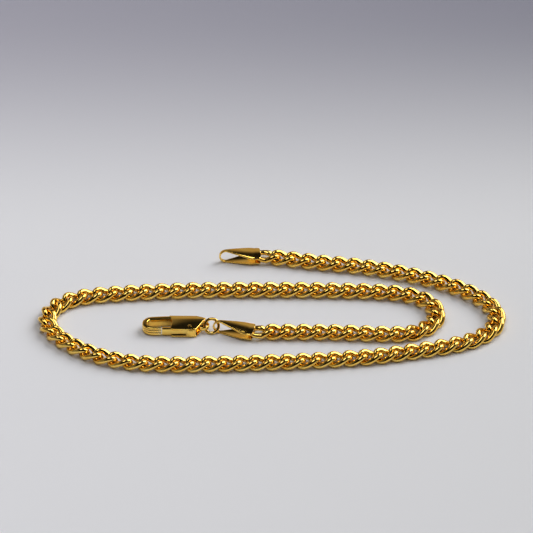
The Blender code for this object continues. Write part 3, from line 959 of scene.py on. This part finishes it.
# ---- Clasp -----------------------------------------------------------------------------------------------
@dataclass
class LobsterClasp:
    """The clasp. Its own frame has the eye's centre at 0, +x to the hook and +y to the gate."""

    ring: JumpRing
    ring_place: Matrix
    look: bpy.types.Material
    spring_look: bpy.types.Material
    length: float = 12.5 * MM
    yaw: float = math.radians(11.0)
    clearance: float = 0.05 * MM

    casing_width: float = 4.5 * MM
    casing_height: float = 2.0 * MM
    casing_front: float = 6.0 * MM
    plate: float = 0.30 * MM
    plate_edge: float = 0.10 * MM
    crown: float = 0.13 * MM
    shoulder: float = 1.15 * MM
    hollow: float = 0.25 * MM
    hollow_span: float = 0.86
    hollow_shares: tuple[float, ...] = (-0.8, -0.55, -0.3, 0.0, 0.3, 0.55, 0.8)
    plate_tip: Point = (-0.55 * MM, -1.45 * MM)
    tip_corner: tuple[Point, ...] = ((0.04 * MM, 0.12 * MM), (0.0, 0.0), (0.14 * MM, -0.10 * MM))
    ear: tuple[Point, ...] = ((0.30 * MM, 0.02 * MM), (0.28 * MM, 0.38 * MM), (0.0, 0.45 * MM))
    gate_corner: tuple[Point, ...] = ((0.0, -0.40 * MM), (-0.10 * MM, -0.12 * MM), (-0.40 * MM, 0.0))
    rear_corner: tuple[Point, ...] = ((0.3 * MM, 0.0), (0.08 * MM, -0.12 * MM))

    bar_width: float = 1.0 * MM
    bar_height: float = 1.7 * MM
    bar_corner: float = 0.26 * MM
    groove_depth: float = 0.07 * MM
    groove_levels: tuple[float, ...] = (0.42, -0.18)
    groove_reach: float = 0.13
    spine_start: tuple[Point, ...] = ((1.0 * MM, -0.9 * MM), (1.6 * MM, -1.3 * MM))
    spine_bends: tuple[Point, ...] = (
        (2.2 * MM, 0.92), (2.8 * MM, 0.98), (3.4 * MM, 1.0), (4.5 * MM, 1.0),
    )
    hook_root: Point = (6.4 * MM, 0.97)
    hook_width: float = 3.9 * MM
    hook_steps: int = 28
    tip_length: float = 3.6 * MM
    tip_straight: float = 0.8 * MM

    eye_bore: float = 1.74 * MM
    eye_rim: float = 0.34 * MM
    eye_height: float = 0.70 * MM
    eye_corner: float = 0.15 * MM
    eye_lift: float = 0.20 * MM
    eye_slack: float = 0.26 * MM
    eye_steps: int = 56
    neck_inner: Point = (1.75 * MM, -0.75 * MM)
    neck_outer_x: float = 2.1 * MM
    neck_inset: float = 0.25 * MM
    neck_span: Span = (math.radians(-75), math.radians(-20))
    neck_edge: float = 0.08 * MM

    gate_width: float = 0.90 * MM
    gate_gap: float = 0.14 * MM
    gate_heel: float = 0.85 * MM
    gate_step: tuple[Point, ...] = (
        (0.85 * MM, -0.25 * MM), (1.25 * MM, -0.09 * MM), (1.6 * MM, 0.0),
    )
    gate_edge: float = 0.05 * MM
    gate_sharp_angle: float = 35.0
    ridge: float = 0.45 * MM
    ridge_reach: Span = (0.80 * MM, -1.25 * MM)
    ridge_root: float = 1.1 * MM
    ridge_fullness: float = 0.7
    ridge_steps: int = 40
    ribs: int = 5
    rib_depth: float = 0.035 * MM

    rivet: float = 0.70 * MM
    rivet_place: Point = (2.45 * MM, 1.15 * MM)
    rivet_sides: int = 32
    head_overlap: float = 0.02 * MM
    head_dome: float = 0.012 * MM
    head_flat: float = 0.02 * MM
    head_bends: tuple[Point, ...] = ((0.5, 0.8), (0.85, 0.4))
    head_rim: float = 0.01 * MM
    head_root: float = 0.05 * MM

    spring_strip: float = 0.12 * MM
    spring_width: float = 0.90 * MM
    spring_edge: float = 0.03 * MM
    spring_reach: float = 2.3 * MM
    spring_toe: float = 0.6 * MM
    spring_bend: Point = (0.75 * MM, -0.35 * MM)
    spring_shares: tuple[float, ...] = (0.35, 0.7, 1.0)

    @property
    def hook_end(self) -> float:
        """Where the hook ends."""
        return self.length - self.eye_bore / 2 - self.eye_rim

    @property
    def eye_radius(self) -> float:
        """Radius of the middle of the eye's rim."""
        return self.eye_bore / 2 + self.eye_rim / 2

    @property
    def seat(self) -> Seat:
        """Where the fixed pieces of the clasp belong."""
        return Seat("clasp", ("clasp_body",))

    def place(self) -> Matrix:
        """The clasp's frame: the ring runs through its eye.

        Returns:
            The frame.
        """
        middle = self.casing_height / 2
        up = (middle + self.eye_lift - self.ring.height) / math.sin(self.ring.tilt)
        far_side = self.ring_place @ Vector((math.sqrt(self.ring.radius**2 - up**2), up, 0))
        run = math.atan2(self.ring_place.col[0].y, self.ring_place.col[0].x)
        offset = self.eye_bore / 2 - self.eye_slack - self.ring.wire / 2
        return (
            Matrix.Translation((far_side.x, far_side.y, middle))
            @ Matrix.Rotation(run + self.yaw, 4, "Z")
            @ Matrix.Translation((offset, 0, 0))
        )

    def bar_line(self) -> Outline:
        """Centre line of the bar, from the spine beside the eye round the hook to its tip.

        Returns:
            Its points.
        """
        spine_y = -(self.casing_width - self.bar_width) / 2
        radius = (self.hook_width - self.bar_width) / 2
        centre = (self.hook_end - self.hook_width / 2, 0.0)
        spine = [(x, share * spine_y)
                 for x, share in (*self.spine_bends, (self.casing_front, 1.0), self.hook_root)]
        hook = arc(centre, radius, -math.pi / 2, math.pi / 2, self.hook_steps)
        tip = self.hook_end - self.tip_length
        return [*self.spine_start, *spine, *hook, (tip + self.tip_straight, radius), (tip, radius)]

    def bar_section(self) -> Outline:
        """Section of the bar: rounded, with two shallow grooves along its outer face.

        Returns:
            Its points; the outer face looks to -across.
        """
        w, h = self.bar_width / 2, self.bar_height / 2
        rounded = rounded_section(self.bar_width, self.bar_height, self.bar_corner, 5)
        points = [p for p in rounded if p[0] > -w + TINY]
        outer = [(-w, h - self.bar_corner)]
        for level in self.groove_levels:
            outer += [(-w, (level + self.groove_reach) * h), (-w + self.groove_depth, level * h),
                      (-w, (level - self.groove_reach) * h)]
        outer.append((-w, -h + self.bar_corner))
        return [p for p in points if p[1] > 0] + outer + [p for p in points if p[1] <= 0]

    def plate_outline(self) -> Outline:
        """Outline of a plate: pointed towards the eye, hollow at the front, with a small ear.

        Returns:
            Its points.
        """
        half, front = self.casing_width / 2, self.casing_front
        rim = [(front - self.hollow * math.cos(math.pi / 2 * share) ** 2, share * self.hollow_span * half)
               for share in self.hollow_shares]
        return (
            beside(self.plate_tip, self.tip_corner)
            + [(self.shoulder, -half)]
            + beside((front, -half), self.ear)
            + rim
            + beside((front, half), self.gate_corner)
            + beside((self.shoulder, half), self.rear_corner)
        )

    def build_bar(self) -> bpy.types.Object:
        """Makes the spine and the hook."""
        bm = swept_bar(self.bar_line(), self.bar_section())
        return add_piece("clasp_bar", bm, self.place(), self.look, self.seat)

    def build_plates(self) -> list[bpy.types.Object]:
        """Makes the upper and the lower plate.

        Returns:
            The plates.
        """
        top = self.casing_height / 2
        plates = []
        for name, low, high in (("clasp_top_plate", top - self.plate, top),
                                ("clasp_lower_plate", -top, self.plate - top)):
            bm = rounded_slab(self.plate_outline(), low, high, self.plate_edge)
            crown_slab(bm, self.casing_width / 2, math.copysign(self.crown, low + high))
            plates.append(add_piece(name, bm, self.place(), self.look, self.seat))
        return plates

    def build_eye(self) -> bpy.types.Object:
        """Makes the eye that the ring runs through.

        Returns:
            The eye.
        """
        section = rounded_section(self.eye_rim, self.eye_height, self.eye_corner, 4)
        rings = []
        for i in range(self.eye_steps):
            turn = 2 * math.pi * i / self.eye_steps
            out = Vector((math.cos(turn), math.sin(turn), 0))
            rings.append([out * (self.eye_radius + a) + Vector((0, 0, self.eye_lift + z))
                          for a, z in section])
        return add_piece("clasp_eye", skin(rings, closed=True), self.place(), self.look, self.seat)

    def build_neck(self) -> bpy.types.Object:
        """Makes the neck between the eye and the spine.

        Returns:
            The neck.
        """
        inner = arc((0, 0), self.eye_radius, *self.neck_span, 6)[::-1]
        corner = (self.neck_outer_x, -self.casing_width / 2 + self.neck_inset)
        outline = [self.neck_inner, *inner, corner]
        bm = rounded_slab(outline[::-1], self.eye_lift - self.eye_height / 2,
                          self.eye_lift + self.eye_height / 2, self.neck_edge)
        return add_piece("clasp_neck", bm, self.place(), self.look, self.seat)

    def build_gate(self) -> bpy.types.Object:
        """Makes the sprung gate with its ribbed thumb ridge.

        Returns:
            The gate.
        """
        outer = self.hook_width / 2
        inner = outer - self.gate_width
        px, py = self.rivet_place
        tip = self.hook_end - self.tip_length - self.gate_gap
        outline = arc(self.rivet_place, self.gate_heel, math.radians(150), math.radians(270), 24)
        outline += beside((px, inner), self.gate_step)
        outline += [(tip, inner), (tip, outer), (px + self.ridge_root, outer)]
        front, back = px + self.ridge_reach[0], px + self.ridge_reach[1]
        for i in range(1, self.ridge_steps):
            share = i / self.ridge_steps
            swell = math.sin(math.pi * share)
            groove = self.rib_depth * (1 - math.cos(2 * math.pi * self.ribs * share)) * swell
            outline.append((front + (back - front) * share,
                            outer + self.ridge * swell ** self.ridge_fullness - groove))
        outline += [(back, outer)]
        half = self.casing_height / 2 - self.plate - self.clearance
        local = [(x - px, y - py) for x, y in outline]
        bm = rounded_slab(local, -half, half, self.gate_edge)
        place = self.place() @ Matrix.Translation((px, py, 0))
        return add_piece("clasp_gate", bm, place, self.look, Seat("gate", ("clasp_lever",)),
                         self.gate_sharp_angle)

    def build_rivet(self) -> bpy.types.Object:
        """Makes the rivet, with a low domed head at each end.

        Returns:
            The rivet.
        """
        top, head = self.casing_height / 2, self.rivet / 2 + self.head_overlap
        half = [(self.head_flat, top + self.head_dome)]
        half += [(width * head, top + rise * self.head_dome) for width, rise in self.head_bends]
        half += [(head, top - self.head_rim), (self.rivet / 2, top - self.head_root)]
        profile = half + [(r, -z) for r, z in half[::-1]]
        turns = [2 * math.pi * i / self.rivet_sides for i in range(self.rivet_sides)]
        rings = [[Vector((radius * math.cos(t), radius * math.sin(t), z)) for t in turns]
                 for radius, z in profile]
        place = self.place() @ Matrix.Translation((*self.rivet_place, 0))
        seat = Seat("clasp", ("clasp_rivet",))
        return add_piece("clasp_rivet_pin", skin(rings, closed=False), place, self.look, seat)

    def build_spring(self) -> bpy.types.Object:
        """Makes the bent steel strip between the spine and the gate.

        Returns:
            The spring.
        """
        slack = self.clearance + self.spring_strip / 2
        spine = -self.casing_width / 2 + self.bar_width + slack
        gate = self.hook_width / 2 - self.gate_width - slack
        reach = self.rivet_place[0] + self.spring_reach
        bend = (self.rivet_place[0] + self.spring_bend[0], (spine + gate) / 2 + self.spring_bend[1])
        path = [(reach, spine), (reach - self.spring_toe, spine), (bend[0], spine)]
        path += arc(bend, bend[1] - spine, -math.pi / 2, -3 * math.pi / 2, 16)[1:]
        x, y = path[-1]
        path += [(x + (reach - x) * share, y + (gate - y) * share) for share in self.spring_shares]
        section = rounded_section(self.spring_strip, self.spring_width, self.spring_edge, 2)
        seat = Seat("clasp", ("clasp_spring",), STEEL_SLOT)
        return add_piece("clasp_spring_strip", swept_bar(path, section), self.place(),
                         self.spring_look, seat)

    def build(self) -> list[bpy.types.Object]:
        """Makes the whole clasp.

        Returns:
            Its pieces.
        """
        return [self.build_bar(), *self.build_plates(), self.build_eye(), self.build_neck(),
                self.build_gate(), self.build_rivet(), self.build_spring()]


# ---- Studio ------------------------------------------------------------------------------------------------
@dataclass(frozen=True)
class SoftLight:
    """A soft rectangular light that looks at a point on the table."""

    name: str
    position: tuple[float, float, float]
    size: tuple[float, float]
    radiance: float
    colour: Colour = (1.0, 1.0, 1.0)
    mirrored: bool = True
    aim: tuple[float, float, float] = (0.0, 0.0, 0.0)

    def build(self) -> bpy.types.Object:
        """Makes the light.

        Returns:
            The light.
        """
        data = bpy.data.lights.new(self.name, "AREA")
        data.shape = "RECTANGLE"
        data.size, data.size_y = self.size
        data.color = self.colour
        data.energy = self.radiance * math.pi * self.size[0] * self.size[1]
        light = bpy.data.objects.new(self.name, data)
        bpy.context.scene.collection.objects.link(light)
        light.location = self.position
        light.visible_glossy = self.mirrored
        view = Vector(self.aim) - Vector(self.position)
        light.rotation_euler = view.to_track_quat("-Z", "Y").to_euler()
        return light


@dataclass
class Studio:
    """The table, the dim room, the lights and the camera."""

    table: PaleTable = field(default_factory=PaleTable)
    table_size: float = 5.0
    view_height: float = math.radians(35.0)
    view_distance: float = 1.25
    lens: float = 447.0
    sensor: float = 36.0
    aim: tuple[float, float, float] = (-1.0 * MM, 15.5 * MM, 0.0)
    room_dark: Colour = (0.018, 0.017, 0.018)
    room_back: Colour = (0.46, 0.39, 0.31)
    room_side: Colour = (0.22, 0.21, 0.20)
    room_top: Colour = (0.12, 0.12, 0.13)
    back_reach: Span = (-0.1, 0.7)
    dark_reach: Span = (0.42, 0.66)
    side_reach: Span = (0.45, 0.85)
    top_reach: Span = (0.85, 0.97)
    contrast_gamma: float = 0.85
    lights: tuple[SoftLight, ...] = (
        SoftLight("window", (0.60, 0.37, 0.68), (0.80, 0.80), 3.7, (1.0, 0.99, 0.97)),
        SoftLight("overhead_softbox", (-0.20, 0.00, 0.80), (0.62, 0.34), 1.8),
        SoftLight("table_fill", (0.0, -0.35, 0.85), (1.0, 1.0), 0.82, (1.0, 0.99, 0.98), False),
    )

    def build_table(self) -> bpy.types.Object:
        """Makes the table.

        Returns:
            The table.
        """
        bm = bmesh.new()
        bmesh.ops.create_grid(bm, x_segments=8, y_segments=8, size=self.table_size / 2)
        mesh = bpy.data.meshes.new("table_top")
        bm.to_mesh(mesh)
        bm.free()
        mesh.materials.append(self.table.material())
        top = bpy.data.objects.new("table_top", mesh)
        bpy.context.scene.collection.objects.link(top)
        return top

    def build_room(self) -> bpy.types.World:
        """Makes the room's light: warm low at the back, dark in front, grey at the sides and overhead.

        Returns:
            The world.
        """
        world = bpy.data.worlds.new("dim_room")
        world.use_nodes = True
        board = NodeBoard(world.node_tree)
        way = board.add("ShaderNodeTexCoord").outputs["Generated"]
        apart = board.add("ShaderNodeSeparateXYZ", Vector=way)
        across, back, up = (apart.outputs[axis] for axis in "XYZ")
        colour = board.mixed(board.eased(back, self.back_reach), self.room_dark, self.room_back)
        colour = board.mixed(board.eased(up, self.dark_reach), colour, self.room_dark)
        aside = board.maths("ABSOLUTE", across)
        colour = board.mixed(board.eased(aside, self.side_reach), colour, self.room_side)
        colour = board.mixed(board.eased(up, self.top_reach), colour, self.room_top)
        glow = board.add("ShaderNodeBackground", Color=colour, Strength=1.0)
        board.surface(glow, "ShaderNodeOutputWorld")
        bpy.context.scene.world = world
        return world

    def build_camera(self) -> bpy.types.Object:
        """Makes the camera.

        Returns:
            The camera.
        """
        data = bpy.data.cameras.new("view")
        data.lens = self.lens
        data.sensor_width = self.sensor
        camera = bpy.data.objects.new("view", data)
        bpy.context.scene.collection.objects.link(camera)
        back = Vector((0, -math.cos(self.view_height), math.sin(self.view_height)))
        camera.location = Vector(self.aim) + self.view_distance * back
        camera.rotation_euler = (-back).to_track_quat("-Z", "Y").to_euler()
        bpy.context.scene.camera = camera
        return camera

    def build(self) -> None:
        """Makes everything round the chain."""
        scene = bpy.context.scene
        scene.view_settings.view_transform = "Standard"
        scene.view_settings.gamma = self.contrast_gamma
        self.build_table()
        self.build_room()
        for light in self.lights:
            light.build()
        self.build_camera()


def main() -> None:
    """Builds and dresses the chain, piece by piece, and then the studio."""
    logging.basicConfig(level=logging.INFO, format="%(message)s")
    gold = PolishedGold().material()
    steel = SpringSteel().material()
    layout = ChainLayout()
    links = CurbLinks(layout, gold).build()
    log.info("links: %d", len(links))

    far_end = layout.end_place(False, FAR_TAG_YAW)
    near_end = layout.end_place(True, CLASP_TAG_YAW)
    far_tag = FoldedTag("far_tag_strip", far_end, Seat("link_pair_01", ("end_tag",)), gold,
                        layout.height)
    near_tag = FoldedTag("clasp_tag_strip", near_end, Seat("end_link_46", ("clasp_tag",)), gold,
                         layout.height)
    for tag in (far_tag, near_tag):
        log.info("tag: %s", tag.build().name)

    ring = JumpRing(near_end, gold)
    log.info("ring: %s", ring.build(near_tag).name)
    clasp = LobsterClasp(ring, ring.place(near_tag), gold, steel)
    for piece in clasp.build():
        log.info("clasp: %s", piece.name)

    Studio().build()


if __name__ == "__main__":
    main()
